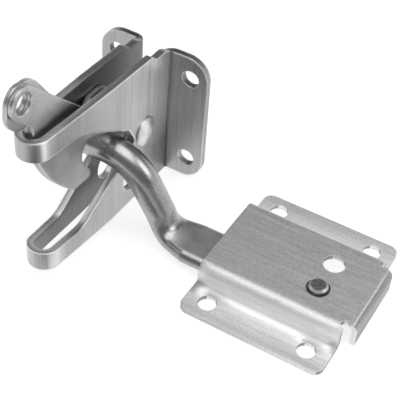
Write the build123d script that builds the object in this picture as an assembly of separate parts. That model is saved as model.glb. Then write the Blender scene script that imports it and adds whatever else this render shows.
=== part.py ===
from build123d import *
from math import acos, atan2, cos, hypot, pi, radians, sin, tan
import os

# Gate latch of folded stainless sheet. Millimetres, +Z up.
# Y = 0 is the face of the post that the flanges are screwed to, and the throat opens towards -Y.
# X runs along the strike bar, X = 0 halfway between the two walls, +X towards the gate.
# Z = 0 is halfway between the upper and the lower row of screw holes.

# Latch body: one strip folded into an upper and a lower loop, with a flange at each end
sheet = 3.0                # thickness of the body sheet
wall_half = 7.85           # half of the width over the walls where they are parallel
nose_half = 6.75           # half of the width over the loops, which is also their outer radius
knee_y = 45.0              # distance from the post where the walls start to close towards the loops
knee_r = 60.0              # radius of that gentle bend
upper_reach = 91.2         # post face to the front of the upper loop
lower_reach = 89.0         # post face to the front of the lower loop
bend_r = 0.8               # inside radius of the sharp flange bends
bend_back_r = 5.4          # their outside radius, on the post's side
flange_half = 25.7         # half of the width over the flanges
flange_half_h = 31.4       # half of the height of the flanges
flange_corner_r = 10.0     # outer corners of the flanges
screw_side = 7.85          # screw holes, in from the flanges' outer edges
screw_end = 10.25          # screw holes, in from the flanges' top and bottom
screw_d = 7.7              # screw holes of the body and of the strike plate

# Side view of the walls
top_over_flange = 3.95     # wall's top edge, carried back to the post face, above the flanges
top_rise = 0.067           # how much that edge climbs for each millimetre forward
relief_y = 13.4            # the top edge steps down towards the flange this far from the post
relief_run = 3.6           # length of that step
relief_over_flange = 2.2   # height of the step's foot above the flanges
shoulder_run = 4.2         # from there the edge slopes down to the flange over this length
shoulder_r = 5.0           # rounding of that shoulder
upper_band = 8.9           # depth of the upper loop at its front
upper_band_slope = 0.088   # its lower edge falls this much for each millimetre back
ramp_y = 33.5              # upper back corner of the throat, from the post face
ramp_z = 10.5              # height of that corner
ramp_angle = 32.3          # the throat's upper edge climbs forward at this angle
ramp_r = 25.0              # bend between the upper edge and the loop's lower edge
back_angle = 59.6          # the throat's back edge leans back by this much below level
seat_ahead = 11.5          # a point on the slope that the strike bar rests on, ahead of that corner
seat_below = 17.9          # and below that corner
seat_angle = 28.6          # the slope climbs towards the post at this angle
throat_r = 2.0             # corners at the back of the throat
lower_band = 8.8           # depth of the lower loop at its front
lower_front_z = -16.1      # top of the lower loop at its front
lower_band_slope = 0.10    # its top edge falls this much for each millimetre back
lower_bend_r = 12.0        # bend between the loop's top edge and the slope
belly_y = 50.0             # the bottom edge kinks here, from the post face
belly_rise = 2.3           # height of that kink above the flanges' bottom
padlock_y = 30.0           # padlock hole, from the post face
padlock_z = -15.9          # height of the padlock hole
padlock_d = 14.6           # padlock hole

# Pivot rivet
pivot_behind = 12.2        # rivet, behind the throat's upper back corner
pivot_below = 8.7          # rivet, below that corner
shank_d = 8.0              # rivet shank
shank_gap = 0.05           # clearance round the shank, in the walls and in the pawl
head_d = 13.2              # rivet heads
head_h = 2.1               # height of the heads
head_rim = 0.7             # height of the heads at their rim
head_flat_d = 5.0          # flat middle of the heads

# Pawl: two mirrored stampings, together in front and spread to the walls at the rivet
pawl_sheet = 1.8           # thickness of each stamping
pawl_apart = 0.4           # gap between the stampings in front
wall_gap = 0.30            # clearance between a stamping and the wall beside it
nose_gap = 0.45            # clearance to the inside of the upper loop
splay_back = 45.0          # the stampings lie along the walls up to here, from the post face
splay_len = 7.5            # length over which they come together in front of that
splay_r = 3.0              # inside radius of the bends of the spread
lobe_back = 0.4            # middle of the lever's round end, behind the front of the upper loop
lobe_over = 17.6           # and above the upper loop
lever_w = 13.4             # width of the lever and of its round end
far_lobe_r = 9.6           # the far stamping's larger round end
far_lobe_in = 4.1          # its middle lies this much further down the lever
far_lobe_low = 0.6         # and this much lower
far_neck = 17.5            # from here on, the far stamping's upper edge is the lever's
far_neck_r = 12.0          # rounding of that corner
lever_angle = 44.2         # the lever climbs forward at this angle
cord_d = 8.6               # cord hole in the lever
rear_top_under = 7.4       # top edge of the pawl behind the lever, below the walls' top edge
rear_top_y = 36.0          # where that edge ends, from the post face
rear_top_r = 7.0           # its rear corner
boss_r = 8.2               # round end at the rivet
throat_gap = 0.8           # the pawl stays this far above the throat's upper edge
hook_front_in = 1.0        # top of the hook's curved front, behind the pawl's edge in the loop
hook_front_over = 1.4      # and above the lower edge of the loop
hook_bulge = 3.5           # how far the curved front stands out from a straight line
hook_play = 6.1            # gap between the strike bar and the rear end of the hook's foot
hook_foot_len = 10.6       # length of the foot
hook_foot_z = -2.7         # underside of the foot at its rear end
hook_foot_rise = 0.9       # how much the underside climbs towards the front
hook_foot_h = 3.6          # height of the foot at its rear end
hook_tip_r = 1.2           # rounding of the foot
hollow_r = 6.5             # radius of the hook's hollow back
hollow_over = 13.3         # middle of the hollow, above the foot's underside
hollow_back = 1.2          # and behind the foot's rear end
hollow_turn = 42.0         # the hollow's lower end turns back by this angle below level

# Strike bar
bar_d = 12.7               # round bar
bar_rest = 0.30            # gap between the bar and the slope, beside the strike-side wall
bar_ahead = 6.7            # bar's axis, ahead of the throat's upper back corner
bar_tail_out = 6.5         # free end of the bar, past the far wall
bend_start_x = 1.5         # the bar starts to bend down here
bend_upper_r = 22.5        # first bend, on the axis
bend_lower_r = 9.0         # second bend, on the axis
bend_angle = 58.0          # steepest slope of the bar
bar_drop = 30.1            # how much lower the flattened end lies, on the axis
paddle_w = 21.4            # width of the flattened end
paddle_t = 6.4             # thickness of the flattened end
paddle_shift = 1.6         # the flattened end stands this much towards the front of the axis
paddle_start = 7.0         # the bar is flat this far behind the second bend
paddle_side = 3.0          # width of the rounded sides of the flattened end
round_part = 0.8           # this part of the slope between the bends stays round
pin_x = 100.15             # pin, from the middle plane of the latch
pin_d = 8.0                # pin
pin_out = 2.0              # pin's end above the strike plate
pin_chamfer = 0.9          # chamfer of the pin's end

# Strike plate
plate_sheet = 2.0          # thickness
plate_gap = 0.15           # clearance between the flattened end and the channel
paddle_under = 2.45        # room between the flattened end and the gate
paddle_room = 0.8          # clearance between the flattened end and the channel's near wall
flange_w = 16.0            # width of each flange
plate_len = 62.0           # length of the flanges
pin_in = 45.05             # pin, in from the open end of the channel
hole_off = 7.5             # pin hole and spare hole, from the channel's middle to either side
channel_r = 2.4            # inside radius of the channel's bends
foot_r = 1.0               # inside radius where the flanges turn out
plate_corner_r = 4.0       # outer corners of the flanges
pin_play = 0.85            # clearance round the pin
spare_hole_d = 9.2         # the second hole of the channel
plate_screw_end = 9.35     # screw holes, in from the flanges' ends
plate_screw_side = 7.7     # screw holes, in from the flanges' outer edges
lip_in = 5.4               # sides of the end lip, in from the channel's walls
lip_out = 4.7              # outer face of the end lip, past the flanges
lip_r = 1.8                # inside radius of the lip's bend
notch_r = 1.8              # round relief notches beside the lip
notch_bite = 0.4           # the notches cut into the lip's sides this far

os.makedirs("parts", exist_ok=True)


def closed(*lines):
    """Face inside a closed run of lines and arcs."""
    run = Curve()
    for line in lines:
        run += line
    return make_face(run)


def meet(p, slope_p, q, slope_q):
    """Point where two lines meet, each given by a point and its slope."""
    u = (q[1] - p[1] + slope_p * p[0] - slope_q * q[0]) / (slope_p - slope_q)
    return (u, p[1] + slope_p * (u - p[0]))


def across(face, half):
    """Solid of a side view, drawn in Y and Z, as wide as twice the given half on both sides of X = 0."""
    return extrude(Plane.YZ * face, amount=half, both=True)


def wall_lean(reach):
    """Angle of the walls in front of the knee, for a loop that reaches so far."""
    ahead = reach - nose_half - knee_y
    return atan2(ahead, wall_half) - acos(nose_half / hypot(wall_half, ahead))


# The folded strip seen from above: a flange, a wall and half of a loop
def strip_half(reach):
    loop_y = nose_half - reach
    lean = wall_lean(reach)
    out = Vector(cos(lean), sin(lean))
    mid = Vector(cos((lean - pi / 2) / 2), sin((lean - pi / 2) / 2))
    loop = Vector(0, loop_y)
    inner_r = nose_half - sheet
    knee_in = -knee_y - sheet * tan(lean / 2)
    outside = FilletPolyline(
        (flange_half, -sheet),
        (wall_half, -sheet),
        (wall_half, -knee_y),
        loop + out * nose_half,
        radius=[bend_r, knee_r + sheet],
    )
    inside = FilletPolyline(
        loop + out * inner_r,
        (wall_half - sheet, knee_in),
        (wall_half - sheet, 0),
        (flange_half, 0),
        radius=[knee_r, bend_back_r],
    )
    return closed(
        outside,
        ThreePointArc(loop + out * nose_half, loop + mid * nose_half, (0, -reach)),
        Line((0, -reach), (0, sheet - reach)),
        ThreePointArc((0, sheet - reach), loop + mid * inner_r, loop + out * inner_r),
        inside,
        Line((flange_half, 0), (flange_half, -sheet)),
    )


def strip(reach, low, high):
    half = strip_half(reach)
    right = extrude(Pos(0, 0, low) * half, amount=high - low)
    return right + mirror(right, Plane.YZ)


# Lines of the side view
top_at_post = flange_half_h + top_over_flange
relief_z = flange_half_h + relief_over_flange
seat_y = ramp_y + seat_ahead
seat_z = ramp_z - seat_below
ramp_slope = -tan(radians(ramp_angle))
back_slope = -tan(radians(back_angle))
seat_slope = tan(radians(seat_angle))
ramp_corner = (-ramp_y, ramp_z)
upper_top_z = top_at_post + top_rise * upper_reach
upper_low = (-upper_reach, upper_top_z - upper_band)
lower_top = (-lower_reach, lower_front_z)
lower_low = (-lower_reach, lower_front_z - lower_band)
ramp_front = meet(ramp_corner, ramp_slope, upper_low, -upper_band_slope)
seat_back = meet(ramp_corner, back_slope, (-seat_y, seat_z), seat_slope)
seat_front = meet((-seat_y, seat_z), seat_slope, lower_top, -lower_band_slope)
belly = (-belly_y, belly_rise - flange_half_h)
relief_top_z = top_at_post + top_rise * (relief_y + relief_run)
split_z = (ramp_z + seat_back[1]) / 2

# Latch body
side_view = closed(
    FilletPolyline(
        (0, -flange_half_h),
        (0, flange_half_h),
        (-sheet, flange_half_h),
        (-sheet - shoulder_run, relief_z),
        (-relief_y, relief_z),
        (-relief_y - relief_run, relief_top_z),
        (-upper_reach, upper_top_z),
        upper_low,
        ramp_front,
        ramp_corner,
        seat_back,
        seat_front,
        lower_top,
        lower_low,
        belly,
        radius=[0, 0, sheet, shoulder_r, 1.0, 0.8, 0, 0, ramp_r, throat_r, throat_r, lower_bend_r, 0, 0, knee_r],
        close=True,
    )
)
flange_view = RectangleRounded(2 * flange_half, 2 * flange_half_h, flange_corner_r)
flange_view += Rectangle(2 * (wall_half + bend_r), 2 * (upper_top_z + sheet))
screw_x = flange_half - screw_side
screw_z = flange_half_h - screw_end
screw_holes = [
    Pos(x, 0, z) * Rot(90, 0, 0) * Cylinder(screw_d / 2, 3 * sheet)
    for x in (-screw_x, screw_x)
    for z in (-screw_z, screw_z)
]
pivot_y = ramp_y - pivot_behind
pivot_z = ramp_z - pivot_below
pivot = Pos(0, -pivot_y, pivot_z) * Rot(0, 90, 0)
padlock = Pos(0, -padlock_y, padlock_z) * Rot(0, 90, 0)
latch_body = strip(upper_reach, split_z, upper_top_z + sheet)
latch_body += strip(lower_reach, -flange_half_h - sheet, split_z)
latch_body = latch_body & across(side_view, flange_half + sheet)
latch_body = latch_body & extrude(Plane.XZ * flange_view, amount=max(upper_reach, lower_reach) + sheet, both=True)
for hole in screw_holes:
    latch_body -= hole
latch_body -= pivot * Cylinder(shank_d / 2 + shank_gap, 4 * wall_half)
latch_body -= padlock * Cylinder(padlock_d / 2, 4 * wall_half)
latch_body = latch_body.clean()

# Pivot rivet: a shank through both walls and a low head on each, with a straight rim
head_slope_h = head_h - head_rim
head = Pos(0, 0, wall_half + head_rim / 2) * Cylinder(head_d / 2, head_rim)
head += Pos(0, 0, wall_half + head_rim + head_slope_h / 2) * Cone(head_d / 2, head_flat_d / 2, head_slope_h)
pivot_rivet = pivot * (Cylinder(shank_d / 2, 2 * wall_half) + head + mirror(head, Plane.XY))
pivot_rivet = pivot_rivet.clean()

# Pawl, side view
lobe_y = upper_reach - lobe_back
lobe_z = upper_top_z + lobe_over
rear_top_z = top_at_post + top_rise * rear_top_y - rear_top_under
bar_back_y = ramp_y + bar_ahead
hook_tip_y = bar_back_y + bar_d / 2 + hook_play
lever_slope = -tan(radians(lever_angle))
lobe = (-lobe_y, lobe_z)
pawl_half = pawl_apart / 2 + pawl_sheet
loop_inside_y = (nose_half - upper_reach) - ((nose_half - sheet) ** 2 - pawl_half ** 2) ** 0.5
pawl_front_y = loop_inside_y + nose_gap
edge_rise = lever_w / 2 / cos(radians(lever_angle))
lever_top = (-lobe_y, lobe_z + edge_rise)
lever_low = (-lobe_y, lobe_z - edge_rise)
top_turn = (-lobe_y + (lever_top[1] - rear_top_z) / -lever_slope, rear_top_z)
low_turn = (pawl_front_y, lever_low[1] + lever_slope * (pawl_front_y + lobe_y))
lift = throat_gap / cos(radians(ramp_angle))
guard = (-ramp_y, ramp_z + lift)


def on_guard(y):
    """Point on the pawl's lower edge, which follows the throat's upper edge."""
    return (y, guard[1] + ramp_slope * (y - guard[0]))


hook_front = Vector(pawl_front_y + hook_front_in, upper_low[1] + hook_front_over)
hook_low = Vector(-hook_tip_y - hook_foot_len, hook_foot_z + hook_foot_rise)
chord = (hook_low - hook_front).normalized()
hook_mid = (hook_front + hook_low) / 2 + Vector(chord.Y, -chord.X) * hook_bulge
hook_heel = Vector(-hook_tip_y, hook_foot_z)
hook_point = Vector(-hook_tip_y, hook_foot_z + hook_foot_h)
hollow = Vector(-hook_tip_y + hollow_back, hook_foot_z + hollow_over)
hollow_top = hollow + Vector(0, hollow_r)
hollow_deep = hollow - Vector(hollow_r, 0)
turn = radians(hollow_turn)
hollow_low = hollow - Vector(cos(turn), sin(turn)) * hollow_r
guard_end = Vector(*on_guard(-ramp_y - boss_r / 2))
pawl_view = closed(
    ThreePointArc(hook_front, hook_mid, hook_low),
    Line(hook_low, hook_heel),
    Line(hook_heel, hook_point),
    Line(hook_point, hollow_low),
    ThreePointArc(hollow_low, hollow_deep, hollow_top),
    Line(hollow_top, guard_end),
    Polyline(guard_end, (-pivot_y, pivot_z), (-pivot_y + boss_r * 0.8, pivot_z + boss_r * 0.6)),
    Line((-pivot_y + boss_r * 0.8, pivot_z + boss_r * 0.6), (-rear_top_y, rear_top_z)),
    Line((-rear_top_y, rear_top_z), top_turn),
    Line(top_turn, low_turn),
    Line(low_turn, hook_front),
)


def corner(view, point):
    """The view's corner nearest to a point."""
    return view.vertices().sort_by_distance(Vector(point[0], point[1], 0))[0]


lever_len = (hypot(top_turn[0] - lobe[0], top_turn[1] - lobe[1]) ** 2 - (lever_w / 2) ** 2) ** 0.5
lever = Pos(*lobe) * Rot(0, 0, -lever_angle)
pawl_view += lever * Pos(lever_len / 2, 0) * Rectangle(lever_len, lever_w)
pawl_view += lever * Circle(lever_w / 2)
pawl_view += Pos(-pivot_y, pivot_z) * Circle(boss_r)
pawl_view = fillet(corner(pawl_view, (hook_heel.X, hook_heel.Y)), hook_tip_r)
pawl_view = fillet(corner(pawl_view, (hook_point.X, hook_point.Y)), hook_tip_r)
pawl_view = fillet(corner(pawl_view, (-rear_top_y, rear_top_z)), rear_top_r)
pawl_view = fillet(corner(pawl_view, low_turn), rear_top_r / 2)
pawl_view = fillet(corner(pawl_view, top_turn), rear_top_r / 2)
cord_hole = lever * Circle(cord_d / 2)
pivot_hole = Pos(-pivot_y, pivot_z) * Circle(shank_d / 2 + shank_gap)

# The far stamping ends in a larger round, with a hollow bend to the lever's upper edge
far_round = Vector(far_lobe_in, -far_lobe_low)
neck_end = Vector(far_neck, lever_w / 2)
neck_dir = neck_end - far_round
neck_turn = atan2(neck_dir.Y, neck_dir.X) + acos(far_lobe_r / neck_dir.length)
neck_start = far_round + Vector(cos(neck_turn), sin(neck_turn)) * far_lobe_r
neck = make_face(Polyline(far_round, neck_end, neck_start, close=True))
neck_corner = (lever * Pos(neck_end)).position
far_view = pawl_view + lever * Pos(far_round) * Circle(far_lobe_r) + lever * neck
far_view = fillet(corner(far_view, (neck_corner.X, neck_corner.Y)), far_neck_r)

# Pawl, seen from above: beside its twin in front, beside the wall at the rivet
splay_front = splay_back + splay_len
wall_in = wall_half - sheet + (splay_back - knee_y) * tan(wall_lean(upper_reach))
rest_x = wall_in - wall_gap
splay_turn = atan2(rest_x - pawl_half, splay_len)
splay_shift = pawl_sheet * tan(splay_turn / 2)
far_y = -lobe_y - 2 * far_lobe_r
near_in = pawl_apart / 2
pawl_plan = closed(
    FilletPolyline(
        (near_in, far_y),
        (near_in, -splay_front),
        (rest_x - pawl_sheet, -splay_back),
        (rest_x - pawl_sheet, 0),
        radius=[splay_r + pawl_sheet, splay_r],
    ),
    Line((rest_x - pawl_sheet, 0), (rest_x, 0)),
    FilletPolyline(
        (rest_x, 0),
        (rest_x, -splay_back - splay_shift),
        (pawl_half, -splay_front - splay_shift),
        (pawl_half, far_y),
        radius=[splay_r + pawl_sheet, splay_r],
    ),
    Line((pawl_half, far_y), (near_in, far_y)),
)
pawl_height = lobe_z + 2 * far_lobe_r - hook_foot_z + sheet
pawl_blank = extrude(Pos(0, 0, hook_foot_z - sheet) * pawl_plan, amount=pawl_height)
pawl_plate_near = pawl_blank & across(pawl_view - cord_hole - pivot_hole, wall_half)
pawl_plate_near = pawl_plate_near.clean()
far_blank = mirror(pawl_blank, Plane.YZ)
pawl_plate_far = far_blank & across(far_view - cord_hole - pivot_hole, wall_half)
pawl_plate_far = pawl_plate_far.clean()

# Strike bar: its axis in side view, along X and Z
bend = radians(bend_angle)
turn_drop = (bend_upper_r + bend_lower_r) * (1 - cos(bend))
slope_len = (bar_drop - turn_drop) / sin(bend)
reach_x = (bend_upper_r + bend_lower_r) * sin(bend) + slope_len * cos(bend)
into_bend = wall_half - bend_start_x
dip = bend_upper_r - (bend_upper_r ** 2 - into_bend ** 2) ** 0.5
seat_at_bar = seat_z + seat_slope * (seat_y - bar_back_y)
bar_z = seat_at_bar + dip + (bar_d / 2 + bar_rest) / cos(radians(seat_angle))
paddle_z = bar_z - bar_drop
paddle_x = bend_start_x + reach_x
bar_back_x = -wall_half - bar_tail_out
bar_plane = Plane(origin=(0, -bar_back_y, 0), x_dir=(1, 0, 0), z_dir=(0, -1, 0))
level = Line((bar_back_x, bar_z), (bend_start_x, bar_z))
bend_down = JernArc(level @ 1, level % 1, bend_upper_r, -bend_angle)
slope = Line(bend_down @ 1, bend_down @ 1 + (bend_down % 1) * slope_len)
bend_level = JernArc(slope @ 1, slope % 1, bend_lower_r, bend_angle)
flat_run = Line(bend_level @ 1, bend_level @ 1 + Vector(paddle_start, 0))
round_run = Line(slope @ 0, slope @ round_part)
round_path = bar_plane * (Curve() + level + bend_down + round_run)
bar_round = Plane(origin=(bar_back_x, -bar_back_y, bar_z), z_dir=(1, 0, 0)) * Circle(bar_d / 2)
strike_bar = sweep(bar_round, path=round_path)


# From the slope on, the section changes from round to flat, drawn with the same four edges
round_w = bar_d / 2 * cos(pi / 4)
round_face = closed(
    ThreePointArc((round_w, round_w), (0, bar_d / 2), (-round_w, round_w)),
    ThreePointArc((-round_w, round_w), (-bar_d / 2, 0), (-round_w, -round_w)),
    ThreePointArc((-round_w, -round_w), (0, -bar_d / 2), (round_w, -round_w)),
    ThreePointArc((round_w, -round_w), (bar_d / 2, 0), (round_w, round_w)),
)
flat_w = paddle_w / 2 - paddle_side
flat_t = paddle_t / 2
flat_face = closed(
    Line((flat_w, flat_t), (-flat_w, flat_t)),
    ThreePointArc((-flat_w, flat_t), (-paddle_w / 2, 0), (-flat_w, -flat_t)),
    Line((-flat_w, -flat_t), (flat_w, -flat_t)),
    ThreePointArc((flat_w, -flat_t), (paddle_w / 2, 0), (flat_w, flat_t)),
)
round_at = round_run @ 1
round_way = round_run % 1
round_plane = Plane(
    origin=(round_at.X, -bar_back_y, round_at.Y), x_dir=(0, 1, 0), z_dir=(round_way.X, 0, round_way.Y)
)
paddle_mid = -bar_back_y - paddle_shift
flat_x = paddle_x + paddle_start
flat_plane = Plane(origin=(flat_x, paddle_mid, paddle_z), x_dir=(0, 1, 0), z_dir=(1, 0, 0))
taper_path = bar_plane * (Curve() + Line(slope @ round_part, slope @ 1) + bend_level + flat_run)
taper = sweep([round_plane * round_face, flat_plane * flat_face], path=taper_path, multisection=True)

end_x = pin_x + paddle_w / 2
paddle = extrude(flat_plane * flat_face, amount=end_x - flat_x)
paddle_plan = Pos((flat_x + end_x) / 2, paddle_mid) * Rectangle(end_x - flat_x, paddle_w)
paddle_plan = fillet(paddle_plan.vertices().group_by(Axis.X)[-1], paddle_w / 2 * 0.98)
paddle = paddle & extrude(Pos(0, 0, paddle_z - paddle_t) * paddle_plan, amount=2 * paddle_t)
strike_bar = strike_bar + taper + paddle

# Strike plate: a channel with a flange on each side and a lip folded down at the far end
plate_top = paddle_z + paddle_t / 2 + plate_gap + plate_sheet
plate_back_x = pin_x - pin_in
channel_y = -bar_back_y + hole_off
channel_depth = plate_gap + paddle_t + paddle_under
channel_half = hole_off + paddle_shift + paddle_w / 2 + paddle_room + plate_sheet
plate_half_w = channel_half + flange_w
flange_z = plate_top - channel_depth
flange_end = plate_back_x + plate_len
outer_run = FilletPolyline(
    (-plate_half_w, flange_z),
    (-channel_half, flange_z),
    (-channel_half, plate_top),
    (channel_half, plate_top),
    (channel_half, flange_z),
    (plate_half_w, flange_z),
    radius=[foot_r, channel_r + plate_sheet, channel_r + plate_sheet, foot_r],
)
inner_half = channel_half - plate_sheet
inner_run = FilletPolyline(
    (plate_half_w, flange_z - plate_sheet),
    (inner_half, flange_z - plate_sheet),
    (inner_half, plate_top - plate_sheet),
    (-inner_half, plate_top - plate_sheet),
    (-inner_half, flange_z - plate_sheet),
    (-plate_half_w, flange_z - plate_sheet),
    radius=[foot_r + plate_sheet, channel_r, channel_r, foot_r + plate_sheet],
)
plate_view = closed(
    outer_run,
    Line((plate_half_w, flange_z), (plate_half_w, flange_z - plate_sheet)),
    inner_run,
    Line((-plate_half_w, flange_z - plate_sheet), (-plate_half_w, flange_z)),
)
plate_plane = Plane(origin=(plate_back_x, channel_y, 0), x_dir=(0, 1, 0), z_dir=(1, 0, 0))
strike_plate = extrude(plate_plane * plate_view, amount=plate_len)
plate_mid = (plate_back_x + flange_end) / 2
plate_outline = Pos(plate_mid, channel_y) * RectangleRounded(plate_len, 2 * plate_half_w, plate_corner_r)
plate_low = Pos(0, 0, flange_z - 2 * plate_sheet)
strike_plate = strike_plate & extrude(plate_low * plate_outline, amount=channel_depth + 4 * plate_sheet)
lip_x = flange_end + lip_out
lip_view = closed(
    FilletPolyline(
        (flange_end - plate_sheet, plate_top),
        (lip_x, plate_top),
        (lip_x, flange_z - plate_sheet),
        radius=lip_r + plate_sheet,
    ),
    Line((lip_x, flange_z - plate_sheet), (lip_x - plate_sheet, flange_z - plate_sheet)),
    FilletPolyline(
        (lip_x - plate_sheet, flange_z - plate_sheet),
        (lip_x - plate_sheet, plate_top - plate_sheet),
        (flange_end - plate_sheet, plate_top - plate_sheet),
        radius=lip_r,
    ),
    Line((flange_end - plate_sheet, plate_top - plate_sheet), (flange_end - plate_sheet, plate_top)),
)
lip_plane = Plane(origin=(0, channel_y, 0), x_dir=(1, 0, 0), z_dir=(0, -1, 0))
strike_plate += extrude(lip_plane * lip_view, amount=channel_half - lip_in, both=True)
for side in (-1, 1):
    notch_y = channel_y + side * (channel_half - lip_in + notch_r - notch_bite)
    strike_plate -= Pos(flange_end, notch_y, plate_top) * Cylinder(notch_r, 4 * plate_sheet)
plate_screw_y = plate_half_w - plate_screw_side
for x in (plate_back_x + plate_screw_end, flange_end - plate_screw_end):
    for y in (channel_y - plate_screw_y, channel_y + plate_screw_y):
        strike_plate -= Pos(x, y, flange_z) * Cylinder(screw_d / 2, 4 * plate_sheet)
strike_plate -= Pos(pin_x, channel_y - hole_off, plate_top) * Cylinder(pin_d / 2 + pin_play, 4 * plate_sheet)
strike_plate -= Pos(pin_x, channel_y + hole_off, plate_top) * Cylinder(spare_hole_d / 2, 4 * plate_sheet)
strike_plate = strike_plate.clean()

# Pin, pressed through the flattened end and standing up through the plate's hole
pin_bottom = paddle_z - paddle_t / 2
pin_len = plate_top + pin_out - pin_bottom
strike_pin = Pos(pin_x, -bar_back_y, pin_bottom + pin_len / 2) * Cylinder(pin_d / 2, pin_len)
strike_pin = chamfer(strike_pin.edges().sort_by(Axis.Z)[-1], pin_chamfer)
strike_bar -= Pos(pin_x, -bar_back_y, paddle_z) * Cylinder(pin_d / 2, 2 * paddle_t)
strike_bar = strike_bar.clean()

pieces = {
    "latch_body": latch_body,
    "pivot_rivet": pivot_rivet,
    "pawl_plate_near": pawl_plate_near,
    "pawl_plate_far": pawl_plate_far,
    "strike_bar": strike_bar,
    "strike_pin": strike_pin,
    "strike_plate": strike_plate,
}
for name, piece in pieces.items():
    export_step(piece, "parts/" + name + ".step")
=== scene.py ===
import bpy
from mathutils import Matrix, Vector


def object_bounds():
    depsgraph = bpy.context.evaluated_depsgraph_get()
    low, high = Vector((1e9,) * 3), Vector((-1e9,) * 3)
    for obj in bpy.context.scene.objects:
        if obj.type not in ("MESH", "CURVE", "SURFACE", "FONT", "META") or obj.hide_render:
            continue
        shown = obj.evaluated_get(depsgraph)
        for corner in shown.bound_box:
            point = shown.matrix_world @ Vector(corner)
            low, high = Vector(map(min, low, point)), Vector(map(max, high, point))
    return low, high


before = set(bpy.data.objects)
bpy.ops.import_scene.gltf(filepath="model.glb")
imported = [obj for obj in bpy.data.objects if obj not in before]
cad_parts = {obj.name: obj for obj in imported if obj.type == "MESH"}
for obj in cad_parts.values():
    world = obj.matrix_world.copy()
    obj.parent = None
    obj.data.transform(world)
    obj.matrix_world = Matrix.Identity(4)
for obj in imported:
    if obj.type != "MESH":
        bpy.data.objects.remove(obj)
cad_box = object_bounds()


# Latch body. One strip of 3 mm stainless sheet, brushed along its height while flat, sheared to
# shape, folded into an upper and a lower loop, and turned out at its ends into two flanges with
# two screw holes each. The flanges are screwed to the gate post.
def linear(code):
    """Linear colour of an sRGB hex code."""
    parts = [int(code[i:i + 2], 16) / 255 for i in (1, 3, 5)]
    return [c / 12.92 if c <= 0.04045 else ((c + 0.055) / 1.055) ** 2.4 for c in parts] + [1.0]


def add(tree, kind, settings=None, links=None, stops=()):
    """Adds a node. Settings in lower case are its own; other settings, and the links, are sockets.

    The stops are a colour ramp's positions and colours, from first to last.
    """
    made = tree.nodes.new("ShaderNode" + kind)
    for name, value in (settings or {}).items():
        if isinstance(name, str) and name.islower():
            setattr(made, name, value)
        else:
            made.inputs[name].default_value = value
    for name, source in (links or {}).items():
        tree.links.new(source, made.inputs[name])
    if stops:
        ramp = made.color_ramp.elements
        ramp[0].position, ramp[0].color = stops[0]
        ramp[1].position, ramp[1].color = stops[-1]
        for position, colour in stops[1:-1]:
            ramp.new(position).color = colour
    return made


def new_material(name):
    """Empty material and its node tree, with an output node named Out."""
    made = bpy.data.materials.new(name)
    made.use_nodes = True
    made.node_tree.nodes.clear()
    add(made.node_tree, "OutputMaterial", {"name": "Out"})
    return made, made.node_tree


def dress(material, shader, *nodes):
    """Links a material's finished shader to its output, and gives the material to CAD nodes."""
    tree = material.node_tree
    tree.links.new(shader.outputs[0], tree.nodes["Out"].inputs["Surface"])
    for node in nodes:
        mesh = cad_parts[node].data
        mesh.materials.clear()
        mesh.materials.append(material)


# A Mix node's colour sockets share the names of its other sockets, so they go by number.
colour_a, colour_b, mixed_colour = 6, 7, 2

# Stainless steel sheet 1.4301, brushed: neutral grey, glossier along its lines than across them.
# The lines are about 0.1 mm apart on the real sheet and are drawn 0.4 mm apart, so that they
# show. The belt's uneven grit gives wider bands, 2.6 mm apart.
lines_per_metre = (2500, 2500, 50)
bands_per_metre = (380, 380, 14)
body_steel, tree = new_material("brushed_stainless_sheet")
place = add(tree, "TexCoord").outputs
fine = add(tree, "Mapping", {"Scale": lines_per_metre}, {"Vector": place["Object"]}).outputs[0]
lines = add(
    tree, "TexNoise", {"Scale": 1.0, "Detail": 3.0, "Roughness": 0.65}, {"Vector": fine},
).outputs["Fac"]
wide = add(tree, "Mapping", {"Scale": bands_per_metre}, {"Vector": place["Object"]}).outputs[0]
bands = add(tree, "TexNoise", {"Scale": 1.0, "Detail": 2.0}, {"Vector": wide}).outputs["Fac"]
both = add(tree, "Mix", {"Factor": 0.3}, {"A": lines, "B": bands}).outputs[0]
face = add(
    tree, "ValToRGB", None, {"Fac": both},
    stops=((0.33, linear("#AAAAAA")), (0.67, linear("#CACACA"))),
).outputs[0]

# How far out in the folded strip a point lies, seen from above. Height 0, in the throat, parts
# the upper loop from the lower one. Each closes in a half round, further forward on the upper
# one. The walls stand further apart towards the back, for which up to 2.5 mm is taken off.
lower_round_y, upper_round_y = -0.0821, -0.0843
spot = add(tree, "SeparateXYZ", None, {"Vector": place["Object"]}).outputs
normal = add(tree, "SeparateXYZ", None, {"Vector": place["Normal"]}).outputs
aside = add(tree, "Math", {"operation": "ABSOLUTE"}, {0: spot["X"]}).outputs[0]
spread = add(
    tree, "MapRange", {"From Min": -0.083, "From Max": -0.01, "To Min": 0.0, "To Max": 0.0025},
    {"Value": spot["Y"]},
).outputs[0]
lower_to_upper = {"From Min": -0.001, "From Max": 0.001}
round_y = add(
    tree, "MapRange", {**lower_to_upper, "To Min": lower_round_y, "To Max": upper_round_y},
    {"Value": spot["Z"]},
).outputs[0]
past_round = add(tree, "Math", {"operation": "SUBTRACT"}, {0: round_y, 1: spot["Y"]}).outputs[0]
past_round = add(tree, "Math", {"operation": "MAXIMUM", 1: 0.0}, {0: past_round}).outputs[0]
radius = add(tree, "CombineXYZ", None, {"X": aside, "Y": past_round}).outputs[0]
radius = add(tree, "VectorMath", {"operation": "LENGTH"}, {0: radius}).outputs["Value"]
depth = add(tree, "Math", {"operation": "SUBTRACT"}, {0: radius, 1: spread}).outputs[0]

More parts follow.
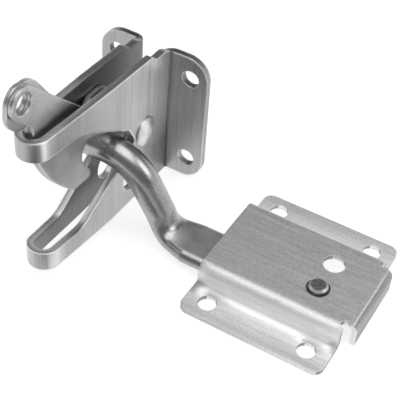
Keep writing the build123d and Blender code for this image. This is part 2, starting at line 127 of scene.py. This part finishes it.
# Sheared edges: what faces up or down, and the outer sides of the flanges.
flange_side_x = 0.0106
flange_front_y = -0.00305
steep = add(tree, "Math", {"operation": "ABSOLUTE"}, {0: normal["Z"]}).outputs[0]
sheared = add(tree, "MapRange", {"From Min": 0.25, "From Max": 0.45}, {"Value": steep}).outputs[0]
along = add(tree, "Math", {"operation": "ABSOLUTE"}, {0: normal["Y"]}).outputs[0]
side = add(tree, "Math", {"operation": "LESS_THAN", 1: 0.3}, {0: along}).outputs[0]
for value, limit in ((aside, flange_side_x), (spot["Y"], flange_front_y)):
    past = add(tree, "Math", {"operation": "GREATER_THAN", 1: limit}, {0: value}).outputs[0]
    side = add(tree, "Math", {"operation": "MULTIPLY"}, {0: side, 1: past}).outputs[0]
sheared = add(tree, "Math", {"operation": "MAXIMUM"}, {0: sheared, 1: side}).outputs[0]

# They are darker than the brushed faces, most of all in the outer half, where the sheet broke
# off. Below the throat, at the flanges' sides and at the front of the upper loop they are
# painted lighter, a painted highlight.
torn = add(
    tree, "TexNoise", {"Scale": 1600.0, "Detail": 2.0}, {"Vector": place["Object"]},
).outputs["Fac"]
broken = add(
    tree, "MapRange", {"From Min": 0.0048, "From Max": 0.0060, "To Min": 0.62, "To Max": 0.3},
    {"Value": depth},
).outputs[0]
broken = add(
    tree, "Math", {"operation": "MULTIPLY_ADD", 1: 0.5}, {0: torn, 2: broken},
).outputs[0]
edge = add(
    tree, "ValToRGB", None, {"Fac": broken},
    stops=((0.45, linear("#686868")), (1.0, linear("#9C9C9C"))),
).outputs[0]
low_down = add(
    tree, "MapRange", {"From Min": 0.0, "From Max": -0.008, "To Min": 1.0, "To Max": 2.6},
    {"Value": spot["Z"]},
).outputs[0]
far_out = add(
    tree, "MapRange", {"From Min": 0.012, "From Max": 0.023, "To Min": 1.0, "To Max": 2.4},
    {"Value": aside},
).outputs[0]
upper_gain = add(
    tree, "MapRange", {**lower_to_upper, "To Min": 1.0, "To Max": 3.4}, {"Value": spot["Z"]},
).outputs[0]
at_front = add(
    tree, "MapRange", {"From Min": -0.045, "From Max": -0.075, "To Min": 1.0},
    {"Value": spot["Y"], "To Max": upper_gain},
).outputs[0]
# Painted highlight on the sheared edges below the throat, at the flanges' sides and at the front.
painted_edge_gain = low_down
for gain in (far_out, at_front):
    painted_edge_gain = add(tree, "Math", {"operation": "MAXIMUM"}, {0: painted_edge_gain, 1: gain}).outputs[0]
edge = add(tree, "VectorMath", {"operation": "SCALE"}, {0: edge, "Scale": painted_edge_gain}).outputs[0]
tone = add(
    tree, "Mix", {"data_type": "RGBA"}, {0: sheared, colour_a: face, colour_b: edge},
).outputs[mixed_colour]

# The outer corners of the sheet carry a painted highlight over about half a millimetre. A corner
# shows where the bevelled normal leaves the face's own, which it also does in the inner bend
# between wall and flange, so that bend is kept out.
inner_bend = (0.0081, 0.0033, 0)
plan = add(tree, "VectorMath", {"operation": "ABSOLUTE"}, {0: place["Object"]}).outputs[0]
plan = add(tree, "VectorMath", {"operation": "MULTIPLY", 1: (1, 1, 0)}, {0: plan}).outputs[0]
to_bend = add(
    tree, "VectorMath", {"operation": "DISTANCE", 1: inner_bend}, {0: plan},
).outputs["Value"]
off_bend = add(
    tree, "MapRange", {"From Min": 0.0008, "From Max": 0.0018}, {"Value": to_bend},
).outputs[0]
outside = add(
    tree, "MapRange", {"From Min": 0.0052, "From Max": 0.0058}, {"Value": depth},
).outputs[0]
rounded = add(tree, "Bevel", {"samples": 6, "Radius": 0.0011}).outputs[0]
plain = add(tree, "NewGeometry").outputs["Normal"]
meet = add(
    tree, "VectorMath", {"operation": "DOT_PRODUCT"}, {0: rounded, 1: plain},
).outputs["Value"]
# Painted highlight along the sheet's outer corners.
painted_corner_highlight = add(tree, "MapRange", {"From Min": 0.985, "From Max": 0.92}, {"Value": meet}).outputs[0]
for mask in (outside, off_bend):
    painted_corner_highlight = add(tree, "Math", {"operation": "MULTIPLY"}, {0: painted_corner_highlight, 1: mask}).outputs[0]
tone = add(
    tree, "Mix", {"data_type": "RGBA", colour_b: linear("#F4F4F4")}, {0: painted_corner_highlight, colour_a: tone},
).outputs[mixed_colour]

# The flanges are darker than the walls, and the inner bend is a painted dark line of shade.
# Near it a wall's outer face carries painted light above the rivet and painted shade below it.
flange = add(
    tree, "MapRange", {"From Min": 0.0081, "From Max": 0.0088, "To Min": 1.0, "To Max": 0.8},
    {"Value": aside},
).outputs[0]
# Painted shade in the inner bend between wall and flange.
painted_crease_shade = add(
    tree, "MapRange", {"From Min": 0.0003, "From Max": 0.0010, "To Min": 0.3}, {"Value": to_bend},
).outputs[0]
faces_out = add(tree, "Math", {"operation": "MULTIPLY"}, {0: spot["X"], 1: normal["X"]}).outputs[0]
outer_face = add(tree, "Math", {"operation": "GREATER_THAN", 1: 0.001}, {0: faces_out}).outputs[0]
on_wall = add(tree, "Math", {"operation": "LESS_THAN", 1: 0.0082}, {0: aside}).outputs[0]
near_bend = add(
    tree, "MapRange", {"From Min": -0.04, "From Max": -0.006}, {"Value": spot["Y"]},
).outputs[0]
for mask in (on_wall, outer_face):
    near_bend = add(tree, "Math", {"operation": "MULTIPLY"}, {0: near_bend, 1: mask}).outputs[0]
upward = add(
    tree, "MapRange", {"From Min": -0.012, "From Max": 0.018, "To Min": -0.45, "To Max": 1.15},
    {"Value": spot["Z"]},
).outputs[0]
# Painted light above the rivet and painted shade below it, on the wall near the inner bend.
brushed = add(
    tree, "Math", {"operation": "MULTIPLY_ADD", 2: 1.0}, {0: near_bend, 1: upward},
).outputs[0]

# The inner faces are painted darker, painted shade between the walls, more so further back
# and in the lower loop.
front_inner_shade = add(
    tree, "MapRange", {**lower_to_upper, "To Min": 0.42, "To Max": 1.0}, {"Value": spot["Z"]},
).outputs[0]
deep_inner_shade = add(
    tree, "MapRange", {"From Min": -0.06, "From Max": -0.01, "To Max": 0.36},
    {"Value": spot["Y"], "To Min": front_inner_shade},
).outputs[0]
# Painted shade on the inner faces.
painted_inner_shade = add(
    tree, "MapRange", {"From Min": -0.001, "From Max": -0.002, "To Min": 1.0},
    {"Value": faces_out, "To Max": deep_inner_shade},
).outputs[0]

# The two folded fronts were pressed in a tool. The body is drawn darker towards the front, and
# the folds carry a painted highlight, strongest on their right side and on the lower fold, drawn
# in the tone itself as a factor at each place from left to right.
fold_half_x = 0.0069
fold_highlight_tones = (
    (0.0, 1.3), (0.4, 1.1), (0.84, 1.1), (0.9, 1.6), (0.94, 2.5), (0.97, 2.9), (1.0, 1.15),
)
folded = add(
    tree, "MapRange", {"From Min": -0.071, "From Max": -0.084}, {"Value": spot["Y"]},
).outputs[0]
across = add(
    tree, "MapRange", {"From Min": -fold_half_x, "From Max": fold_half_x}, {"Value": spot["X"]},
).outputs[0]
fold_highlight = add(
    tree, "ValToRGB", None, {"Fac": across},
    stops=[(position, (light, light, light, 1)) for position, light in fold_highlight_tones],
).outputs[0]
lower_fold_highlight = add(
    tree, "MapRange", {"From Min": 0.001, "From Max": -0.001, "To Min": 1.1, "To Max": 1.5},
    {"Value": spot["Z"]},
).outputs[0]
fold_highlight = add(tree, "Math", {"operation": "MULTIPLY"}, {0: fold_highlight, 1: lower_fold_highlight}).outputs[0]
# Painted highlight on the folded fronts, then darker towards the front.
pressed = add(tree, "Mix", {"A": 1.0}, {"Factor": folded, "B": fold_highlight}).outputs[0]
front_darkening = add(
    tree, "MapRange", {"From Min": -0.082, "From Max": -0.05, "To Min": 0.72, "To Max": 1.0},
    {"Value": spot["Y"]},
).outputs[0]
pressed = add(tree, "Math", {"operation": "MULTIPLY"}, {0: pressed, 1: front_darkening}).outputs[0]

shade = flange
for part in (painted_crease_shade, brushed, painted_inner_shade, pressed):
    shade = add(tree, "Math", {"operation": "MULTIPLY"}, {0: shade, 1: part}).outputs[0]
tone = add(tree, "VectorMath", {"operation": "SCALE"}, {0: tone, "Scale": shade}).outputs[0]
gloss = add(
    tree, "MapRange", {"From Min": 0.3, "From Max": 0.7, "To Min": 0.30, "To Max": 0.42},
    {"Value": both},
).outputs[0]
relief = add(
    tree, "Bump", {"Strength": 0.35, "Distance": 0.00002}, {"Height": lines, "Normal": rounded},
).outputs[0]
turn = add(tree, "Tangent", {"direction_type": "RADIAL", "axis": "Z"}).outputs[0]
steel = add(
    tree, "BsdfPrincipled", {"Metallic": 1.0, "Anisotropic": 0.7},
    {"Base Color": tone, "Roughness": gloss, "Normal": relief, "Tangent": turn},
)
dress(body_steel, steel, "latch_body")

# Pivot rivet. Turned from stainless steel wire and pressed over on both walls, so its head is
# satin bright, with shallow dents of the riveting tool about 4 mm across.
rivet_steel, tree = new_material("pressed_stainless_rivet")
place = add(tree, "TexCoord").outputs
dents = add(
    tree, "TexNoise", {"Scale": 240.0, "Detail": 0.0}, {"Vector": place["Object"]},
).outputs["Fac"]
tone = add(
    tree, "ValToRGB", None, {"Fac": dents},
    stops=((0.35, linear("#D6D6D6")), (0.6, linear("#E8E8E8"))),
).outputs[0]
gloss = add(tree, "MapRange", {"To Min": 0.36, "To Max": 0.50}, {"Value": dents}).outputs[0]
rounded = add(tree, "Bevel", {"samples": 8, "Radius": 0.0014}).outputs[0]
relief = add(
    tree, "Bump", {"Strength": 0.14, "Distance": 0.0001}, {"Height": dents, "Normal": rounded},
).outputs[0]
steel = add(
    tree, "BsdfPrincipled", {"Metallic": 1.0},
    {"Base Color": tone, "Roughness": gloss, "Normal": relief},
)
dress(rivet_steel, steel, "pivot_rivet")

# Pawl. Two mirrored stampings of 1.8 mm stainless sheet that hang on the rivet inside the body,
# tumbled after stamping, so their faces are even and their edges softly rounded, with a painted
# highlight along them.
# The grain is that of the tumbling stones, drawn 0.7 mm wide, over clouds of 9 mm.
pawl_steel, tree = new_material("tumbled_stainless_stamping")
place = add(tree, "TexCoord").outputs
grain = add(
    tree, "TexNoise", {"Scale": 1400.0, "Detail": 3.0}, {"Vector": place["Object"]},
).outputs["Fac"]
cloud = add(
    tree, "TexNoise", {"Scale": 110.0, "Detail": 3.0}, {"Vector": place["Object"]},
).outputs["Fac"]
both = add(tree, "Mix", {"Factor": 0.5}, {"A": grain, "B": cloud}).outputs[0]
tone = add(
    tree, "ValToRGB", None, {"Fac": both},
    stops=((0.36, linear("#A6A6A6")), (0.64, linear("#C4C4C4"))),
).outputs[0]
rounded = add(tree, "Bevel", {"samples": 6, "Radius": 0.0012}).outputs[0]
plain = add(tree, "NewGeometry").outputs["Normal"]
meet = add(
    tree, "VectorMath", {"operation": "DOT_PRODUCT"}, {0: rounded, 1: plain},
).outputs["Value"]
# Painted highlight along the rounded edges.
painted_corner_highlight = add(
    tree, "MapRange", {"From Min": 0.98, "From Max": 0.8, "To Max": 0.9}, {"Value": meet},
).outputs[0]
tone = add(
    tree, "Mix", {"data_type": "RGBA", colour_b: linear("#DADADA")}, {0: painted_corner_highlight, colour_a: tone},
).outputs[mixed_colour]
gloss = add(tree, "MapRange", {"To Min": 0.28, "To Max": 0.42}, {"Value": both}).outputs[0]
relief = add(
    tree, "Bump", {"Strength": 0.3, "Distance": 0.00004}, {"Height": grain, "Normal": rounded},
).outputs[0]
steel = add(
    tree, "BsdfPrincipled", {"Metallic": 1.0},
    {"Base Color": tone, "Roughness": gloss, "Normal": relief},
)
dress(pawl_steel, steel, "pawl_plate_near", "pawl_plate_far")

# Strike bar. Half-inch round stainless bar, drawn smooth, bent cold in an S and pressed flat at
# its end, with small pits, drawn 0.7 mm wide, and wider rub marks of the bending tools. The
# pressed flat is rougher than the round bar.
bar_steel, tree = new_material("drawn_stainless_bar")
place = add(tree, "TexCoord").outputs
pits = add(
    tree, "TexNoise", {"Scale": 1500.0, "Detail": 2.0}, {"Vector": place["Object"]},
).outputs["Fac"]
cloud = add(
    tree, "TexNoise", {"Scale": 130.0, "Detail": 3.0}, {"Vector": place["Object"]},
).outputs["Fac"]
both = add(tree, "Mix", {"Factor": 0.5}, {"A": pits, "B": cloud}).outputs[0]
tone = add(
    tree, "ValToRGB", None, {"Fac": both},
    stops=((0.34, linear("#969696")), (0.56, linear("#AEAEAE"))),
).outputs[0]
gloss = add(tree, "MapRange", {"To Min": 0.22, "To Max": 0.31}, {"Value": cloud}).outputs[0]
faces_up = add(tree, "SeparateXYZ", None, {"Vector": place["Normal"]}).outputs["Z"]
flat = add(
    tree, "MapRange", {"From Min": 0.94, "From Max": 0.99, "To Max": 0.2}, {"Value": faces_up},
).outputs[0]
gloss = add(tree, "Math", {"operation": "ADD"}, {0: gloss, 1: flat}).outputs[0]
rounded = add(tree, "Bevel", {"samples": 6, "Radius": 0.0015}).outputs[0]
relief = add(
    tree, "Bump", {"Strength": 0.15, "Distance": 0.00002}, {"Height": both, "Normal": rounded},
).outputs[0]
steel = add(
    tree, "BsdfPrincipled", {"Metallic": 1.0},
    {"Base Color": tone, "Roughness": gloss, "Normal": relief},
)
dress(bar_steel, steel, "strike_bar")

# Pin. Turned stainless pin pressed through the bar's flattened end. Its end face is dull and
# dark with the lines of the saw, drawn 0.4 mm apart, and the chamfer round it is bright.
saw_lines_per_metre = (700, 2600, 700)
pin_steel, tree = new_material("turned_stainless_pin")
place = add(tree, "TexCoord").outputs
sawn = add(tree, "Mapping", {"Scale": saw_lines_per_metre}, {"Vector": place["Object"]}).outputs[0]
grain = add(tree, "TexNoise", {"Scale": 1.0, "Detail": 3.0}, {"Vector": sawn}).outputs["Fac"]
tone = add(
    tree, "ValToRGB", None, {"Fac": grain},
    stops=((0.35, linear("#707070")), (0.65, linear("#A0A0A0"))),
).outputs[0]
faces_up = add(tree, "SeparateXYZ", None, {"Vector": place["Normal"]}).outputs["Z"]
end_face = add(
    tree, "MapRange", {"From Min": 0.8, "From Max": 0.95}, {"Value": faces_up},
).outputs[0]
tone = add(
    tree, "Mix", {"data_type": "RGBA", colour_a: linear("#C8C8C8")}, {0: end_face, colour_b: tone},
).outputs[mixed_colour]
gloss = add(tree, "MapRange", {"To Min": 0.28, "To Max": 0.46}, {"Value": grain}).outputs[0]
relief = add(tree, "Bump", {"Strength": 0.4, "Distance": 0.00004}, {"Height": grain}).outputs[0]
steel = add(
    tree, "BsdfPrincipled", {"Metallic": 1.0},
    {"Base Color": tone, "Roughness": gloss, "Normal": relief},
)
dress(pin_steel, steel, "strike_pin")

# Strike plate. 2 mm stainless sheet folded to a channel with two flanges and an end lip. It
# turns on the pin and is screwed to the gate. It is brushed along the channel, and across on the
# lip, where the lines run along the fold. They are drawn 0.4 mm apart, as on the body.
channel_lines = (50, 2500, 2500)
lip_lines = (2500, 50, 2500)
vector_a, vector_b, mixed_vector = 4, 5, 1
plate_steel, tree = new_material("brushed_stainless_channel")
place = add(tree, "TexCoord").outputs
spot = add(tree, "SeparateXYZ", None, {"Vector": place["Object"]}).outputs
faces_end = add(tree, "SeparateXYZ", None, {"Vector": place["Normal"]}).outputs["X"]
faces_end = add(tree, "Math", {"operation": "ABSOLUTE"}, {0: faces_end}).outputs[0]
lip = add(tree, "MapRange", {"From Min": 0.5, "From Max": 0.6}, {"Value": faces_end}).outputs[0]
long = add(tree, "Mapping", {"Scale": channel_lines}, {"Vector": place["Object"]}).outputs[0]
across = add(tree, "Mapping", {"Scale": lip_lines}, {"Vector": place["Object"]}).outputs[0]
fine = add(
    tree, "Mix", {"data_type": "VECTOR"}, {0: lip, vector_a: long, vector_b: across},
).outputs[mixed_vector]
lines = add(
    tree, "TexNoise", {"Scale": 1.0, "Detail": 3.0, "Roughness": 0.65}, {"Vector": fine},
).outputs["Fac"]
wide = add(tree, "VectorMath", {"operation": "SCALE", "Scale": 0.2}, {0: fine}).outputs[0]
bands = add(tree, "TexNoise", {"Scale": 1.0, "Detail": 2.0}, {"Vector": wide}).outputs["Fac"]
specks = add(
    tree, "TexNoise", {"Scale": 1300.0, "Detail": 2.0}, {"Vector": place["Object"]},
).outputs["Fac"]
both = add(tree, "Mix", {"Factor": 0.2}, {"A": lines, "B": bands}).outputs[0]
both = add(tree, "Mix", {"Factor": 0.35}, {"A": both, "B": specks}).outputs[0]
tone = add(
    tree, "ValToRGB", None, {"Fac": both},
    stops=((0.36, linear("#AEAEAE")), (0.64, linear("#D6D6D6"))),
).outputs[0]
# Painted shade: the lip and the faces looking along the channel are drawn darker.
painted_lip_shade = add(tree, "MapRange", {"To Min": 1.0, "To Max": 0.62}, {"Value": lip}).outputs[0]
tone = add(tree, "VectorMath", {"operation": "SCALE"}, {0: tone, "Scale": painted_lip_shade}).outputs[0]

# The channel's sides and the flanges next to them, below the top, carry a painted highlight.
channel_y = 0.0327
below_top = add(
    tree, "MapRange", {"From Min": -0.0212, "From Max": -0.0228}, {"Value": spot["Z"]},
).outputs[0]
not_lip = add(tree, "Math", {"operation": "SUBTRACT", 0: 1.0}, {1: lip}).outputs[0]
below_top = add(tree, "Math", {"operation": "MULTIPLY"}, {0: below_top, 1: not_lip}).outputs[0]
off_middle = add(tree, "Math", {"operation": "ADD", 1: channel_y}, {0: spot["Y"]}).outputs[0]
off_middle = add(tree, "Math", {"operation": "ABSOLUTE"}, {0: off_middle}).outputs[0]
close_in = add(
    tree, "MapRange", {"From Min": 0.036, "From Max": 0.026, "To Min": 0.35},
    {"Value": off_middle},
).outputs[0]
# Painted highlight, up to twice the tone.
painted_sheen = add(tree, "Math", {"operation": "MULTIPLY"}, {0: below_top, 1: close_in}).outputs[0]
lighter = add(
    tree, "Math", {"operation": "MULTIPLY_ADD", 1: 1.0, 2: 1.0}, {0: painted_sheen},
).outputs[0]
tone = add(tree, "VectorMath", {"operation": "SCALE"}, {0: tone, "Scale": lighter}).outputs[0]

# The real bends are rounder than the solid's, so their shading is softened. The sheet's corners
# carry a painted highlight, as on the body.
sharp = add(tree, "Bevel", {"samples": 6, "Radius": 0.0006}).outputs[0]
soft = add(tree, "Bevel", {"samples": 8, "Radius": 0.007}).outputs[0]
bent = add(
    tree, "MapRange", {"From Min": 0.030, "From Max": 0.027}, {"Value": off_middle},
).outputs[0]
bent = add(tree, "Math", {"operation": "MULTIPLY"}, {0: bent, 1: below_top}).outputs[0]
rounded = add(
    tree, "Mix", {"data_type": "VECTOR"}, {0: bent, vector_a: sharp, vector_b: soft},
).outputs[mixed_vector]
plain = add(tree, "NewGeometry").outputs["Normal"]
meet = add(tree, "VectorMath", {"operation": "DOT_PRODUCT"}, {0: sharp, 1: plain}).outputs["Value"]
# Painted highlight along the sheet's corners.
painted_corner_highlight = add(
    tree, "MapRange", {"From Min": 0.98, "From Max": 0.86, "To Max": 0.8}, {"Value": meet},
).outputs[0]
tone = add(
    tree, "Mix", {"data_type": "RGBA", colour_b: linear("#F0F0F0")}, {0: painted_corner_highlight, colour_a: tone},
).outputs[mixed_colour]
gloss = add(
    tree, "MapRange", {"From Min": 0.3, "From Max": 0.7, "To Min": 0.34, "To Max": 0.46},
    {"Value": both},
).outputs[0]
relief = add(
    tree, "Bump", {"Strength": 0.35, "Distance": 0.00002}, {"Height": lines, "Normal": rounded},
).outputs[0]
turn = add(tree, "Tangent", {"direction_type": "RADIAL", "axis": "X"}).outputs[0]
steel = add(
    tree, "BsdfPrincipled", {"Metallic": 1.0, "Anisotropic": 0.75},
    {"Base Color": tone, "Roughness": gloss, "Normal": relief, "Tangent": turn},
)
dress(plate_steel, steel, "strike_plate")


# Studio. A plain white table of matt paper, on which the strike plate lies and which keeps the
# latch's shadow. Reflections see a grey patch on it in front of the bar, as a card would give,
# which makes the bar's dark band.
def background_rays(tree):
    """Light Path, and 1 for the rays that show the background: camera, glossy and glass."""
    rays = add(tree, "LightPath").outputs
    seen = rays["Is Camera Ray"]
    for other in ("Is Glossy Ray", "Is Transmission Ray"):
        seen = add(tree, "Math", {"operation": "MAXIMUM"}, {0: seen, 1: rays[other]}).outputs[0]
    return rays, seen


table_side = 4
table_gap = 0.0002
card_middle = (0.05, -0.135, 0)
card_radius, card_fade = 0.04, 0.08
table_glow, card_glow = 0.75, 0.1
low, high = Vector(cad_box[0]), Vector(cad_box[1])
middle = (low + high) / 2
bpy.ops.mesh.primitive_plane_add(size=table_side, location=(0, 0, low.z - table_gap))
table = bpy.context.object
table.name = "table"
white, tree = new_material("white_table")
rays, seen = background_rays(tree)
on_table = add(tree, "TexCoord").outputs["Object"]
to_card = add(
    tree, "VectorMath", {"operation": "DISTANCE", 1: card_middle}, {0: on_table},
).outputs["Value"]
glow = add(
    tree, "MapRange",
    {"From Min": card_radius, "From Max": card_fade, "To Min": card_glow, "To Max": table_glow},
    {"Value": to_card},
).outputs[0]
glow = add(
    tree, "Mix", {"B": table_glow}, {"Factor": rays["Is Camera Ray"], "A": glow},
).outputs[0]
strength = add(tree, "Math", {"operation": "MULTIPLY"}, {0: seen, 1: glow}).outputs[0]
grey = add(
    tree, "VectorMath", {"operation": "SCALE", 0: linear("#B8B8B8")[:3]}, {"Scale": glow},
).outputs[0]
paper = add(
    tree, "BsdfPrincipled", {"Roughness": 0.9, "Emission Color": (1, 1, 1, 1)},
    {"Base Color": grey, "Emission Strength": strength},
)
dress(white, paper)
table.data.materials.append(white)

# The surroundings are white at the horizon behind the latch, and grey overhead and in front.
# What they give to matt surfaces is an even half light.
front_way = (0.0, -1.0, 0)
overhead_grey = 0.24
even_light = 0.5
world = bpy.data.worlds.new("studio")
bpy.context.scene.world = world
world.use_nodes = True
tree = world.node_tree
tree.nodes.clear()
_, seen = background_rays(tree)
way = add(tree, "TexCoord").outputs["Generated"]
height = add(tree, "SeparateXYZ", None, {"Vector": way}).outputs["Z"]
front = add(
    tree, "VectorMath", {"operation": "DOT_PRODUCT", 1: front_way}, {0: way},
).outputs["Value"]
front = add(tree, "Math", {"operation": "MAXIMUM", 1: 0.0}, {0: front}).outputs[0]
away = add(tree, "Math", {"operation": "ADD"}, {0: height, 1: front}).outputs[0]
sky = add(
    tree, "MapRange", {"From Min": 0.1, "From Max": 0.5, "To Min": 1.0, "To Max": overhead_grey},
    {"Value": away},
).outputs[0]
glow = add(tree, "Mix", {"A": even_light}, {"Factor": seen, "B": sky}).outputs[0]
air = add(tree, "Background", {"Color": (1, 1, 1, 1)}, {"Strength": glow}).outputs[0]
add(tree, "OutputWorld", None, {"Surface": air})


# A large soft box hangs overhead, and a smaller one stands at each side.
def soft_box(name, size, power, where):
    """Square area lamp, in metres and watts, turned to the middle of the latch."""
    lamp = bpy.data.lights.new(name, "AREA")
    lamp.shape = "SQUARE"
    lamp.size = size
    lamp.energy = power
    holder = bpy.data.objects.new(name, lamp)
    bpy.context.collection.objects.link(holder)
    holder.location = where
    holder.rotation_euler = (middle - Vector(where)).to_track_quat("-Z", "Y").to_euler()


soft_box("soft_box_overhead", 1.0, 5.8, (0.08, -0.18, 0.98))
soft_box("soft_box_left", 0.5, 1.2, (-0.75, -0.35, 0.45))
soft_box("soft_box_right", 0.5, 2.0, (0.75, 0.15, 0.6))

# The camera was solved from the right angles and circles of the photograph: its focal length in
# pixels of a 400 pixel wide picture, its place, and the ways to its right, up and ahead.
focal_pixels, picture_width = 1094.6, 400
camera_place = (0.188655, -0.318672, 0.294029)
right = Vector((0.86202597, 0.50362533, 0.05720798))
up = Vector((-0.38342462, 0.57410652, 0.72345509))
ahead = Vector((-0.33150683, 0.64557202, -0.68799708))
lens = bpy.data.cameras.new("camera")
lens.sensor_width = 36
lens.lens = focal_pixels / picture_width * lens.sensor_width
lens.clip_start = 0.01
camera = bpy.data.objects.new("camera", lens)
bpy.context.collection.objects.link(camera)
turned = Matrix((right, up, -ahead)).transposed().to_4x4()
camera.matrix_world = Matrix.Translation(camera_place) @ turned
bpy.context.scene.camera = camera
bpy.context.scene.view_settings.view_transform = "Standard"
